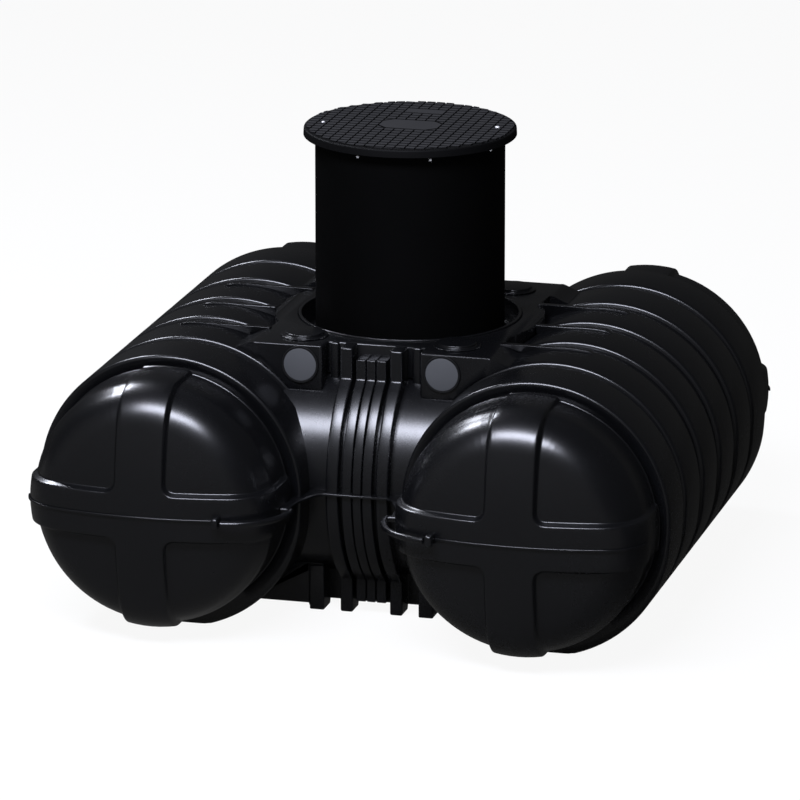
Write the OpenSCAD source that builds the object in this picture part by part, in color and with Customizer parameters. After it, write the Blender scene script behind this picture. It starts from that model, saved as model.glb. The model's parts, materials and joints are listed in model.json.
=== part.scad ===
// Low underground septic tank: two ribbed lying barrels joined by a waist, with a riser and cover.
// X runs across the barrels, Y back along them, Z up. Origin: bottom centre. Millimetres.

/* [Barrels] */
// Distance from the middle of the tank to each barrel axis
axis_x = 614; // [600:1:630]
// Height of both barrel axes, which is also the seam height
axis_z = 457; // [450:1:465]
// Outer radius of a barrel over its raised bands
band_r = 447; // [440:1:452]
// Depth of the grooves between the bands
groove_d = 17; // [10:1:24]
// Rounding along the edges of the bands
band_round = 11; // [5:1:15]
// Half length of the banded part of a barrel
barrel_half = 740; // [730:1:760]
// Wall thickness of the moulded tank
wall = 10; // [7:1:14]
// How far the lower bands are set down so that they stand flat
foot_drop = 30; // [20:1:36]

/* [Ends] */
// Outer radius of an end cap where it leaves the barrel
cap_r = 407; // [395:1:415]
// Distance from the middle of the tank to the end of the straight part of a cap
cap_straight = 900; // [880:1:930]
// Radius of the rounded shoulder of a cap
cap_knuckle = 150; // [120:1:190]
// Radius of the flat dome of a cap
cap_crown = 1200; // [900:10:1600]
// How far the cross on a cap stands proud of its four panels
cross_proud = 12; // [8:1:18]
// Width of the upright bar of the cross
cross_w = 164; // [140:2:190]
// Height of the level bar of the cross
cross_h = 156; // [130:2:180]
// Rounding of the inner corners of the panels
panel_round = 32; // [15:1:50]
// Depth of the foot under each cap, along the barrel
foot_len = 66; // [40:1:90]

/* [Waist] */
// Radius of the curved front and back of the waist
waist_r = 360; // [350:1:370]
// Distance from the middle to the upright faces of the deck
deck_half = 494; // [488:1:500]
// Radius of the hoops round the waist
hoop_r = 415; // [405:1:425]
// How far the hoops stand out from the front of the waist
hoop_proud = 30; // [20:1:40]
// Distance from the middle to the back of the recess behind the columns
recess_y = 420; // [400:1:440]
// Depth of the recess in front of the two slim outer columns
slim_recess = 56; // [30:1:70]

/* [Deck] */
// Height of the deck above the ground
deck_z = 903; // [895:1:910]
// Half width of the deck beside the neck
deck_side = 396; // [390:1:402]
// Half width of the deck over the port blocks
deck_wing = 466; // [460:1:470]
// Length of the port blocks, front to back
wing_l = 164; // [156:1:170]
// Underside of the port blocks
block_z = 750; // [740:1:765]
// Outer radius of the ring round the neck
ring_r = 450; // [440:1:456]
// Radius of the neck opening
neck_r = 372; // [350:1:380]
// Depth of the neck below the deck
neck_d = 84; // [60:1:110]
// Distance from the middle to each boss, across
boss_x = 259; // [250:1:270]
// Distance from the middle to each boss, front to back
boss_y = 374; // [365:1:380]
// Radius of the flat top of a boss
boss_r = 64; // [50:1:70]
// Height of a boss above the deck
boss_h = 15; // [8:1:20]
// Width of a gusset rib over a groove
gusset_w = 86; // [70:2:130]
// How far a gusset reaches back from the middle of its groove
gusset_back = 14; // [8:1:30]

/* [Ports] */
// Distance from the middle to each pipe port, across
port_x = 240; // [230:1:246]
// Height of the pipe ports
port_z = 837; // [828:1:842]
// Radius of the port plugs, for 110 mm pipe
port_r = 55; // [50:1:58]

/* [Riser] */
// Outer radius of the riser pipe
riser_r = 315; // [300:1:320]
// Wall of the riser pipe
riser_wall = 9; // [6:1:14]
// Outer radius of the cover
cover_r = 354; // [345:1:365]
// Height of the top of the cover
cover_z = 1545; // [1300:5:1700]
// Height of the skirt of the cover
skirt_h = 47; // [35:1:60]
// Radius of the circle of the cover screws
cover_screw_r = 290; // [270:1:300]

/* [Seam] */
// How far the seam rib stands out
seam_out = 6; // [4:1:12]
// Thickness of the seam rib
seam_t = 9; // [6:1:14]
// How far from the middle the seam rib starts on a cap
seam_from = 930; // [900:5:960]
// Reach of a lifting eye beyond the cap's shoulder
eye_out = 58; // [50:1:75]
// Width of the bar of a lifting eye
eye_w = 24; // [16:1:30]

/* [Hidden] */
$fn = 96;
gap = 0.3;
base_r = band_r - groove_d;
waist_c = deck_half - sqrt(pow(waist_r, 2) - pow(block_z - axis_z, 2));
hoop_c = waist_c + waist_r + hoop_proud - hoop_r;
column_recess = deck_half - recess_y;
far = 1.5 * barrel_half;
band_in = base_r - wall - foot_drop - 10;
band_a = [31, 291, 537];
band_b = [229, 497, barrel_half];
cap_start = barrel_half + 16;
cap_neck = cap_r - 16;
knuckle_x = cap_r - cap_knuckle;
crown_y = cap_straight - sqrt(pow(cap_crown - cap_knuckle, 2) - pow(knuckle_x, 2));
cap_end = crown_y + cap_crown;
gusset_y = [-260, 0, 260];
gusset_in = deck_side - 16;
crown_x = axis_x - sqrt(pow(band_r + 3, 2) - pow(deck_z + 3 - axis_z, 2));
ramp_x = axis_x + 54;
ramp_l = 130;
eye_t = 20;
eye_foot = 10;
flange_end = eye_w + gap - cap_straight;
flange_x = [172, 165, 126, 104];
flange_y = -hoop_c - hoop_r - 13;
flange_yb = hoop_c + hoop_r + 30;
flange_ya = barrel_half + 55;
flange_w = axis_x - cap_r + 53;
rib_n = [[-50, -19], [-14, 14], [19, 50]];
rib_w = [[-105, -64], [64, 105]];
rib_s = [[-154, -125], [125, 154]];
block_in = 165;
waist_x = 400;
foot_z = 20;
low_z = 2 * axis_z - block_z;
pan_x = 440;
pan_split = deck_half - column_recess - wall - 6;
leg_w = 46;
rib_top = 866;
knee_z = 799;

// ---- profiles ----
// One raised band in the radius and length plane, with rounded outer edges
module band2d(a, b, out) {
    r = band_r + out;
    translate([band_in, a]) square([r - band_round - band_in, b - a]);
    translate([band_in, a + band_round]) square([r - band_in, b - a - 2 * band_round]);
    translate([r - band_round, a + band_round]) circle(band_round);
    translate([r - band_round, b - band_round]) circle(band_round);
}

// The six bands of a barrel
module bands2d(out = 0) {
    for (i = [0:2]) {
        band2d(band_a[i], band_b[i], out);
        band2d(-band_b[i], -band_a[i], out);
    }
}

// Hollow inside a barrel, with a pocket under each band
module inside2d() {
    translate([0, wall - barrel_half]) square([base_r - wall, 2 * barrel_half - 2 * wall]);
    translate([0, -barrel_half - 1]) square([cap_neck - wall, 2 * barrel_half + 2]);
    for (i = [0:2]) {
        translate([0, band_a[i] + wall]) square([band_r - wall, band_b[i] - band_a[i] - 2 * wall]);
        translate([0, wall - band_b[i]]) square([band_r - wall, band_b[i] - band_a[i] - 2 * wall]);
    }
}

// A whole barrel as a solid outline
module barrel2d(out = 0) {
    translate([0, -barrel_half]) square([base_r + out, 2 * barrel_half]);
    bands2d(out);
}

// Domed end cap profile: skirt, shoulder and crown, grown by out
module cap2d(out, start) {
    kc = cap_crown + out;
    m = 1.3 * kc / (cap_crown - cap_knuckle);
    intersection() {
        union() {
            translate([0, cap_start - 200]) square([cap_r + out, cap_straight - cap_start + 200]);
            translate([knuckle_x, cap_straight]) circle(cap_knuckle + out);
            intersection() {
                translate([0, crown_y]) circle(kc, $fn = 360);
                polygon([[0, crown_y], [knuckle_x * m, crown_y + (cap_straight - crown_y) * m],
                    [0, crown_y + 1.3 * kc]]);
            }
        }
        translate([0, start]) square([cap_r + 60, 600]);
    }
}

// Curved outline of the waist in the length and height plane
module waist2d(r, c) {
    translate([-c, axis_z]) circle(r);
    translate([c, axis_z]) circle(r);
    translate([-c, axis_z - r]) square([2 * c, 2 * r]);
}

// ---- placing helpers ----
// Turn a radius and length profile about a barrel axis; upper or lower half
module barrel_turn(side, from, dz = 0) {
    translate([side * axis_x, 0, axis_z + dz]) rotate([90, 0, 0])
        rotate_extrude(angle = 180, start = from) children();
}

// Extrude a length and height outline across the tank
module across(x0, x1) {
    translate([x0, 0, 0]) rotate([90, 0, 90]) linear_extrude(x1 - x0) children();
}

// Inner upper quarters of the barrels, used to trim what meets them
module barrel_cutters() {
    for (s = [-1, 1]) translate([s * axis_x, 0, axis_z]) rotate([90, 0, 0])
        rotate_extrude(angle = 100, start = s > 0 ? 85 : -5) barrel2d(gap);
}

// Upper parts of the barrels, a little past their crowns, for the gussets
module crown_cutters() {
    for (s = [-1, 1]) translate([s * axis_x, 0, axis_z]) rotate([90, 0, 0])
        rotate_extrude(angle = 150, start = s > 0 ? 45 : -15) barrel2d(gap);
}

// Inner lower quarters of the barrels
module barrel_cutters_low() {
    for (s = [-1, 1]) translate([s * axis_x, 0, axis_z]) rotate([90, 0, 0])
        rotate_extrude(angle = 100, start = s > 0 ? 175 : 265) barrel2d(gap);
}

// Lower bands set down on the ground, used to trim what meets them
module foot_band_cutters() {
    for (s = [-1, 1]) translate([s * axis_x, 0, axis_z - foot_drop]) rotate([90, 0, 0])
        rotate_extrude() difference() {
            bands2d(gap);
            square([10, 10]);
        }
}

// ---- barrels ----
module upper_shell(side) {
    difference() {
        barrel_turn(side, 0) difference() {
            barrel2d();
            inside2d();
        }
        across(-axis_x, axis_x) waist2d(waist_r - wall, waist_c);
    }
}

module lower_shell(side) {
    difference() {
        union() {
            barrel_turn(side, 180) barrel2d();
            intersection() {
                barrel_turn(side, 180, -foot_drop) bands2d();
                translate([side * axis_x - 600, -900, 0]) cube([1200, 1800, axis_z - foot_drop]);
            }
        }
        barrel_turn(side, 180) inside2d();
        across(-axis_x, axis_x) waist2d(waist_r - wall, waist_c);
        translate([side * axis_x - 600, -900, -200]) cube([1200, 1800, 200]);
    }
}

// ---- end caps ----
// Plan of the cross, seen along the barrel, at the barrel axis
module cross2d() {
    reach = cap_r + 60;
    difference() {
        circle(reach);
        for (sx = [-1, 1], sz = [-1, 1]) scale([sx, sz]) {
            translate([cross_w / 2, cross_h / 2 + panel_round]) square([reach, reach]);
            translate([cross_w / 2 + panel_round, cross_h / 2]) square([reach, reach]);
            translate([cross_w / 2 + panel_round, cross_h / 2 + panel_round]) circle(panel_round);
        }
    }
}

// A quarter of the tank's ends: front cap of one barrel, above or below the seam
module front_end(side, from) {
    difference() {
        union() {
            barrel_turn(side, from) difference() {
                union() {
                    cap2d(0, cap_start);
                    translate([0, barrel_half]) square([cap_neck, 30]);
                }
                translate([0, barrel_half - 1]) square([cap_neck - wall, 30]);
                cap2d(-wall, cap_start + wall);
            }
            intersection() {
                barrel_turn(side, from) difference() {
                    cap2d(cross_proud, cap_start);
                    cap2d(-1, cap_start - 1);
                }
                translate([side * axis_x, 0, axis_z]) rotate([90, 0, 0]) linear_extrude(1200) cross2d();
            }
            if (from == 180) {
                difference() {
                    translate([side * axis_x - cross_w / 2, -cap_start - foot_len, 0])
                        cube([cross_w, foot_len, 90]);
                    barrel_turn(side, from) cap2d(-1, barrel_half - 10);
                }
            }
        }
        if (from == 180) {
            translate([side * axis_x - 300, -1300, -100]) cube([600, 1300, 100]);
        }
    }
}

module rear_end(side, from) {
    mirror([0, 1, 0]) front_end(side, from);
}

// ---- waist ----
// Curved hoops of one end of the waist, above the seam, up to the upright face
module hoops() {
    for (r = concat(rib_n, rib_w)) intersection() {
        across(r[0], r[1]) waist2d(hoop_r, hoop_c);
        translate([-far, -far, axis_z]) cube([2 * far, far - deck_half, far]);
    }
}

module front_waist_half() {
    difference() {
        union() {
            intersection() {
                across(-waist_x, waist_x) waist2d(waist_r, waist_c);
                union() {
                    translate([-far, -far, axis_z]) cube([2 * far, far - deck_half + wall, far]);
                    translate([-block_in, -far, axis_z])
                        cube([2 * block_in, far - deck_half + column_recess + wall, far]);
                }
            }
            hoops();
        }
        across(-axis_x, axis_x) waist2d(waist_r - wall, waist_c);
        barrel_cutters();
    }
}

module front_waist_low() {
    difference() {
        translate([0, 0, 2 * axis_z]) mirror([0, 0, 1]) front_waist_half();
        foot_band_cutters();
    }
}

// ---- deck ----
// Plan outline of the deck
module deck2d(inset = 0) {
    circle(ring_r - inset);
    square([2 * (deck_side - inset), 2 * (deck_half - inset)], center = true);
    for (s = [-1, 1]) translate([0, s * (deck_half - wing_l / 2)])
        square([2 * (deck_wing - inset), wing_l - 2 * inset], center = true);
}

// Recess between the port blocks, front and back, grown by out
module recess(out, z0, z1) {
    for (s = [-1, 1]) translate([0, s * (deck_half - (column_recess + out - wing_l) / 2), (z0 + z1) / 2])
        cube([2 * (block_in + out), column_recess + out + wing_l, z1 - z0], center = true);
}

// Upright columns over the hoops, front and back, let in by sink
module columns(list, z0, z1, front, sink = 0) {
    for (s = [-1, 1], r = list)
        translate([r[0], s > 0 ? deck_half - column_recess - sink : -front, z0])
            cube([r[1] - r[0], front - deck_half + column_recess + sink, z1 - z0]);
}

// The columns of one side of the deck
module front_columns() {
    difference() {
        intersection() {
            union() {
                columns(rib_w, block_z - wall, deck_z, deck_half);
                columns(rib_n, block_z - wall, rib_top, deck_half);
                columns(rib_s, block_z - wall, deck_z, deck_half - slim_recess);
            }
            translate([-far, -far, axis_z]) cube([2 * far, far, far]);
        }
        across(-axis_x, axis_x) waist2d(waist_r, waist_c);
    }
}

// The deck as a thin box, open below, with its walls standing on the waist
module deck() {
    difference() {
        difference() {
            difference() {
                translate([0, 0, block_z - wall]) linear_extrude(deck_z - block_z + wall) deck2d();
                recess(0, axis_z, 2 * deck_z);
                barrel_cutters();
            }
            difference() {
                translate([0, 0, axis_z]) linear_extrude(deck_z - wall - axis_z) deck2d(wall + 0.01);
                recess(wall, axis_z - wall, 3 * deck_z);
            }
        }
        across(-axis_x, axis_x) waist2d(waist_r, waist_c);
        translate([0, 0, axis_z]) cylinder(r = neck_r + gap, h = far);
        for (sx = [-1, 1]) translate([sx * port_x, 0, port_z]) rotate([90, 0, 0])
            cylinder(r = port_r + 4, h = 2 * far, center = true);
    }
}

module neck_collar() {
    rotate_extrude() {
        translate([neck_r - wall, deck_z - neck_d]) square([wall, neck_d + 4]);
        translate([riser_r + gap, deck_z - neck_d]) square([neck_r - riser_r - gap, wall]);
    }
}

// Flat bottom between the barrels, reaching out under the grooves
module floor_pan() {
    difference() {
        union() {
            translate([-pan_x, -pan_split, foot_z]) cube([2 * pan_x, 2 * pan_split, wall]);
            for (y = gusset_y) translate([-axis_x, y - band_a[0] - wall, foot_z])
                cube([2 * axis_x, 2 * band_a[0] + 2 * wall, wall]);
        }
        for (s = [-1, 1]) translate([s * axis_x, 0, axis_z]) rotate([90, 0, 0])
            cylinder(r = base_r + gap, h = 2 * far, center = true, $fn = 180);
        foot_band_cutters();
    }
}

// Lower port block of the front side, with the legs that carry on the columns below
module front_floor_block() {
    difference() {
        union() {
            difference() {
                translate([-pan_x, -deck_half, foot_z])
                    cube([2 * pan_x, deck_half - pan_split, low_z + wall - foot_z]);
                recess(0, -wall, axis_z);
                barrel_cutters_low();
                foot_band_cutters();
                difference() {
                    translate([wall - pan_x, wall - deck_half, foot_z + wall])
                        cube([2 * pan_x - 2 * wall, deck_half, axis_z]);
                    recess(wall, -2 * wall, 2 * axis_z);
                }
            }
            intersection() {
                union() {
                    columns(rib_w, 0, low_z + wall, deck_half, wall / 2);
                    columns(rib_n, foot_z + 3 * wall, low_z + wall, deck_half, wall / 2);
                    columns([[-block_in - leg_w, -block_in + 4], [block_in - 4, block_in + leg_w]], 0,
                        low_z - wall, deck_half + 3, wall / 2);
                }
                translate([-far, -far, -wall]) cube([2 * far, far, far]);
            }
        }
        across(-axis_x, axis_x) waist2d(waist_r, waist_c);
    }
}

// Side view of a gusset: flat from the deck to the crown, then a ramp down into the groove
module gusset2d() {
    intersection() {
        union() {
            translate([gusset_in, port_z - port_r])
                square([crown_x - gusset_in, deck_z + 3 - port_z + port_r]);
            translate([axis_x, axis_z]) circle(band_r + 3);
        }
        polygon([[gusset_in, port_z - port_r], [gusset_in, deck_z + wall + 12],
            [ramp_x, deck_z + 12], [ramp_x + ramp_l, deck_z + 12 - 0.6 * ramp_l],
            [ramp_x + ramp_l, port_z - port_r]]);
    }
}

// Gusset ribs from the deck over the grooves to the crown of one barrel
module gussets(side) {
    for (y = gusset_y) difference() {
        translate([0, y + gusset_back, 0]) scale([side, 1, 1]) rotate([90, 0, 0])
            linear_extrude(gusset_w) gusset2d();
        crown_cutters();
        translate([0, 0, axis_z]) linear_extrude(far) deck2d(-gap);
    }
}

// Screwed-down round bosses on the deck
module deck_bosses() {
    for (sx = [-1, 1], sy = [-1, 1]) translate([sx * boss_x, sy * boss_y, deck_z]) {
        cylinder(r = boss_r + 14, h = 6);
        cylinder(r = boss_r, h = boss_h);
    }
}

// ---- seam and lifting eyes ----
// Plan of a cap grown by out, closed across its middle
module cap_plan(out) {
    cap2d(out, cap_start - 30);
    mirror([1, 0]) cap2d(out, cap_start - 30);
    translate([-4, cap_start - 30]) square([8, cap_end + out - cap_start + 30]);
}

// The mould seam as a thin rib across each cap, from its lifting eye outwards
module seam_ribs() {
    for (side = [-1, 1], fr = [-1, 1])
        translate([side * axis_x, 0, axis_z - seam_t / 2]) scale([side, fr, 1])
            linear_extrude(seam_t) difference() {
                cap_plan(cross_proud + seam_out);
                cap_plan(cross_proud);
                translate([-far, 0]) square([2 * far, seam_from]);
                translate([-far, 0]) square([far - knuckle_x + eye_foot + gap, 2 * far]);
            }
}

// Plan of the seam flange that joins the two caps across the front of the waist
module flange2d() {
    difference() {
        polygon([[-flange_x[0], flange_end], [-flange_x[1], -flange_ya], [-flange_x[2], -flange_yb],
            [-flange_x[3], flange_y], [flange_x[3], flange_y], [flange_x[2], -flange_yb],
            [flange_x[1], -flange_ya], [flange_x[0], flange_end], [flange_w, flange_end],
            [flange_w, -waist_c - hoop_r], [flange_w, -hoop_c - waist_r], [-flange_w, -hoop_c - waist_r],
            [-flange_w, flange_end]]);
        translate([-far, -waist_c - waist_r - gap]) square([2 * far, far]);
        for (r = concat(rib_n, rib_w)) translate([r[0] - gap, -hoop_c - hoop_r - gap])
            square([r[1] - r[0] + 2 * gap, far]);
        for (s = [-1, 1]) {
            translate([s * axis_x - cap_r - cross_proud - gap, -far])
                square([2 * (cap_r + cross_proud + gap), far]);
            translate([s * axis_x - band_r - gap, -barrel_half - gap])
                square([2 * (band_r + gap), far]);
        }
    }
}

// The mould seam flanges, front and rear
module seam_flanges() {
    for (fr = [-1, 1]) translate([0, 0, axis_z - seam_t / 2]) scale([1, -fr, 1])
        linear_extrude(seam_t) flange2d();
}

// Plan of a lifting eye: a D-shaped bar round the inner corner of a cap, with its two feet
module eye2d() {
    difference() {
        union() {
            intersection() {
                circle(cap_knuckle + eye_out);
                translate([-far, -eye_w]) square([far, far]);
            }
            translate([-eye_w, 0]) square([eye_w + eye_foot, cap_knuckle + eye_out]);
        }
        intersection() {
            circle(cap_knuckle + eye_out - eye_w);
            translate([-far, 0]) square([far - 4 - eye_w, far]);
        }
        translate([knuckle_x, -cap_straight]) cap_plan(cross_proud + gap);
    }
}

// Four lifting eyes in the plane of the seam
module lifting_eyes() {
    for (side = [-1, 1], fr = [-1, 1]) scale([side, fr, 1])
        translate([axis_x - knuckle_x, cap_straight, axis_z - eye_t / 2])
            linear_extrude(eye_t) eye2d();
}

// ---- ports ----
module port_seals() {
    for (sx = [-1, 1]) translate([sx * port_x, -deck_half - 3, port_z]) rotate([-90, 0, 0])
        difference() {
            cylinder(r = port_r + 4, h = 14);
            translate([0, 0, -1]) cylinder(r = port_r, h = 20);
        }
}

module port_plugs() {
    for (sx = [-1, 1]) translate([sx * port_x, -deck_half - 5, port_z]) rotate([-90, 0, 0])
        cylinder(r = port_r, h = 18);
}

// ---- riser and cover ----
module riser() {
    difference() {
        translate([0, 0, deck_z - neck_d]) cylinder(r = riser_r, h = cover_z - skirt_h + 20 - deck_z + neck_d);
        translate([0, 0, 0]) cylinder(r = riser_r - riser_wall, h = 2000);
    }
}

module riser_seal() {
    rotate_extrude() translate([riser_r, deck_z - neck_d + wall]) square([12, 16]);
}

module cover_frame() {
    rotate_extrude() {
        translate([riser_r + gap, cover_z - skirt_h - 26]) square([14, 59]);
        translate([riser_r - riser_wall, cover_z - skirt_h + 20]) square([riser_wall + 14, 13]);
    }
}

module cover() {
    difference() {
        rotate_extrude() {
            translate([0, cover_z - 14]) square([cover_r - 6, 10]);
            translate([0, cover_z - 14]) square([cover_r, 8]);
            translate([cover_r - 8, cover_z - skirt_h]) square([8, skirt_h - 6]);
            translate([cover_r - 6, cover_z - 6]) circle(6);
            translate([0, cover_z - 12]) square([cover_r - 6, 12]);
        }
        for (s = [-1, 1]) rotate([0, 0, s > 0 ? 8 : 188]) translate([cover_screw_r, 0, cover_z - 5])
            cylinder(r = 14, h = 10);
    }
}

module cover_screws() {
    for (s = [-1, 1]) rotate([0, 0, s > 0 ? 8 : 188]) translate([cover_screw_r, 0, cover_z - 5])
        difference() {
            cylinder(r = 11, h = 6);
            translate([0, 0, 3]) cylinder(r = 5, h = 4, $fn = 6);
        }
}

module riser_screws() {
    for (i = [0:7]) rotate([0, 0, 45 * i - 63]) translate([riser_r + 14 + gap, 0, cover_z - skirt_h - 14])
        rotate([0, 90, 0]) cylinder(r = 8, h = 6);
}

black = [0.06, 0.06, 0.065];
color(black) upper_shell(-1);  // left_upper_shell
color(black) upper_shell(1);  // right_upper_shell
color(black) lower_shell(-1);  // left_lower_shell
color(black) lower_shell(1);  // right_lower_shell
color(black) front_end(-1, 0);  // left_front_upper_end
color(black) front_end(-1, 180);  // left_front_lower_end
color(black) front_end(1, 0);  // right_front_upper_end
color(black) front_end(1, 180);  // right_front_lower_end
color(black) rear_end(-1, 0);  // left_rear_upper_end
color(black) rear_end(-1, 180);  // left_rear_lower_end
color(black) rear_end(1, 0);  // right_rear_upper_end
color(black) rear_end(1, 180);  // right_rear_lower_end
color(black) front_waist_half();  // front_waist_upper
color(black) front_waist_low();  // front_waist_lower
color(black) mirror([0, 1, 0]) front_waist_half();  // rear_waist_upper
color(black) mirror([0, 1, 0]) front_waist_low();  // rear_waist_lower
color(black) deck();
color(black) front_columns();
color(black) mirror([0, 1, 0]) front_columns();  // rear_columns
color(black) neck_collar();
color(black) floor_pan();
color(black) front_floor_block();
color(black) mirror([0, 1, 0]) front_floor_block();  // rear_floor_block
color(black) gussets(-1);  // left_gussets
color(black) gussets(1);  // right_gussets
color(black) deck_bosses();
color(black) seam_ribs();
color(black) seam_flanges();
color(black) lifting_eyes();
color(black) port_seals();  // front_port_seals
color([0.55, 0.56, 0.57]) port_plugs();  // front_port_plugs
color(black) mirror([0, 1, 0]) port_seals();  // rear_port_seals
color([0.55, 0.56, 0.57]) mirror([0, 1, 0]) port_plugs();  // rear_port_plugs
color([0.04, 0.04, 0.04]) riser();
color([0.05, 0.05, 0.05]) riser_seal();
color([0.7, 0.7, 0.72]) riser_screws();
color(black) cover_frame();
color([0.16, 0.16, 0.17]) cover();
color([0.7, 0.7, 0.72]) cover_screws();
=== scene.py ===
# %% [markdown]
# # A low septic tank, dressed around its frame
# The tank is a black polyethylene moulding: two lying barrels with raised bands, domed ends
# with a cross on them, a waist that joins the barrels, and a riser with a screwed cover.
# The frame brings the true shapes and sizes. This lesson gives them the look of the real
# thing: first the camera, then the finishes, then each moulding in turn, and last the floor
# and the lamps.

# %% Load the frame and keep its box
import json
import math
import bpy
import bmesh
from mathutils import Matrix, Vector

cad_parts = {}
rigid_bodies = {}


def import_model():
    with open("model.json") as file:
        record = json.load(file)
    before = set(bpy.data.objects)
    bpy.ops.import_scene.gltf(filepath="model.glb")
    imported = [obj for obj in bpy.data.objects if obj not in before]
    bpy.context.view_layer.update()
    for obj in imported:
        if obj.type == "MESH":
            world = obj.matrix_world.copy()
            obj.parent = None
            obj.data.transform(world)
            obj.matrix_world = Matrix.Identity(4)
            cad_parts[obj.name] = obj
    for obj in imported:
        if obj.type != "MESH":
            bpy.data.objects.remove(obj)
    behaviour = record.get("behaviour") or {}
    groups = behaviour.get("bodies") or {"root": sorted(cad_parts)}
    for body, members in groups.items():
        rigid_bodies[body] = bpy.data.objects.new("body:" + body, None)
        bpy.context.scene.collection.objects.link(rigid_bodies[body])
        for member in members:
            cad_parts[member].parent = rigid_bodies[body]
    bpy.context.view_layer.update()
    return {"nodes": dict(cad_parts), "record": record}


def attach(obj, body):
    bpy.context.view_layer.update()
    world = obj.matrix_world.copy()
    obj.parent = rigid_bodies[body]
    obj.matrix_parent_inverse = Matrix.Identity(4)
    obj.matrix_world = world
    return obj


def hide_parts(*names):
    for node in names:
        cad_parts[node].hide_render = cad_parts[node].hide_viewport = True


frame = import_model()
nodes = frame["nodes"]

# %% [markdown]
# The camera stands far off with a long lens, a little to the right of the tank and a little
# above it, so that both ends and the deck show. A near camera with a short lens would show the
# same sides, but would swell the near end of each barrel.

# %% Camera
CAMERA_AT = (5.3228, -19.8428, 6.4040)
LOOK_AT = (-0.03503, 0.0, 0.5956)
LENS_MM = 287.13

cam_data = bpy.data.cameras.new("camera")
cam_data.lens = LENS_MM
cam_data.sensor_width = 36.0
cam_data.clip_end = 200.0
camera = bpy.data.objects.new("camera", cam_data)
bpy.context.scene.collection.objects.link(camera)
camera.location = CAMERA_AT
camera.rotation_euler = (Vector(LOOK_AT) - Vector(CAMERA_AT)).to_track_quat("-Z", "Y").to_euler()
bpy.context.scene.camera = camera
bpy.context.scene.view_settings.view_transform = "Standard"
print("camera at", [round(v, 2) for v in camera.location])

# %% [markdown]
# Shader maths reads best as plain expressions. This small class wraps a socket, so that
# `noise * 0.2 + 0.4` adds the Math nodes by itself. The nodes could be added one by one, but
# then the sum would be hard to see among the lines that make them.

# %% A socket that can be reckoned with
class Sock:
    def __init__(self, tree, out):
        self.tree = tree
        self.out = out

    def math(self, operation, first, second):
        node = self.tree.nodes.new("ShaderNodeMath")
        node.operation = operation
        for target, value in zip(node.inputs, (first, second)):
            if isinstance(value, Sock):
                self.tree.links.new(value.out, target)
            else:
                target.default_value = value
        return Sock(self.tree, node.outputs[0])

    def __add__(self, other):
        return self.math("ADD", self, other)

    def __radd__(self, other):
        return self.math("ADD", other, self)

    def __sub__(self, other):
        return self.math("SUBTRACT", self, other)

    def __rsub__(self, other):
        return self.math("SUBTRACT", other, self)

    def __mul__(self, other):
        return self.math("MULTIPLY", self, other)

    def __rmul__(self, other):
        return self.math("MULTIPLY", other, self)

    def __truediv__(self, other):
        return self.math("DIVIDE", self, other)

    def __rtruediv__(self, other):
        return self.math("DIVIDE", other, self)

    def __gt__(self, other):
        return self.math("GREATER_THAN", self, other)

    def __lt__(self, other):
        return self.math("LESS_THAN", self, other)

    def clamped(self):
        """The same value, held between 0 and 1."""
        return self.math("MAXIMUM", self.math("MINIMUM", self, 1.0), 0.0)


print("sockets take + - * / and >")

# %% [markdown]
# Any other node comes from one method, which takes the node's type, its settings, and the
# values or links of its sockets. A shader is such a board of nodes with a Principled shader on
# it. Its patterns read Object coordinates, so they stay put on the piece.

# %% A board of nodes, and a shader
class Board:
    """A node tree, and the one way in which nodes are put on it."""

    def __init__(self, tree):
        self.tree = tree

    def node(self, kind, settings=None, out=0, **values):
        """Add a node. The name i3 stands for its socket number 3, and other names for themselves."""
        made = self.tree.nodes.new("ShaderNode" + kind)
        for key, value in (settings or {}).items():
            setattr(made, key, value)
        for key, value in values.items():
            numbered = key[0] == "i" and key[1:].isdigit()
            target = made.inputs[int(key[1:]) if numbered else key.replace("_", " ")]
            if isinstance(value, Sock):
                self.tree.links.new(value.out, target)
            else:
                target.default_value = value
        return Sock(self.tree, made.outputs[out])


class Shader(Board):
    """One material under construction."""

    def __init__(self, name, **fixed):
        self.mat = bpy.data.materials.new(name)
        self.mat.use_nodes = True
        super().__init__(self.mat.node_tree)
        self.bsdf = self.tree.nodes["Principled BSDF"]
        for key, value in fixed.items():
            self.bsdf.inputs[key.replace("_", " ")].default_value = value

    def place(self):
        return self.node("TexCoord", out="Object")

    def noise(self, scale, detail=2.0):
        return self.node("TexNoise", Vector=self.place(), Scale=scale, Detail=detail, Roughness=0.5)

    def blend(self, factor, low, high):
        return self.node("Mix", {"data_type": "RGBA"}, out=2, i0=factor, i6=low, i7=high)

    def feed(self, name, sock):
        self.tree.links.new(sock.out, self.bsdf.inputs[name])

    def bump(self, height, strength, distance):
        self.feed("Normal", self.node("Bump", Height=height, Strength=strength, Distance=distance))


print("a board and a shader are ready")

# %% [markdown]
# The tank's skin is moulded polyethylene. It is near black, it scatters a little blue in the
# light, and its satin gloss wavers where the resin cooled unevenly. A fine orange peel breaks
# up the highlights. One flat black would look like paint, so three sizes of noise share the work.

# %% Black moulded skin
def moulded_black():
    s = Shader("tank_black", IOR=1.5)
    broad = s.noise(2.6, 3.0)
    fine = s.noise(60.0, 4.0)
    peel = s.noise(260.0)
    deep, pale = (0.0018, 0.0019, 0.0022, 1), (0.0030, 0.0031, 0.0036, 1)
    s.feed("Base Color", s.blend(broad * 0.7 + fine * 0.3, deep, pale))
    s.feed("Roughness", broad * 0.05 + fine * 0.04 + 0.22)
    s.bump(peel * 0.7 + fine * 0.3, 0.05, 0.0005)
    return s.mat


tank_black = moulded_black()
print("made", tank_black.name)

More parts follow.
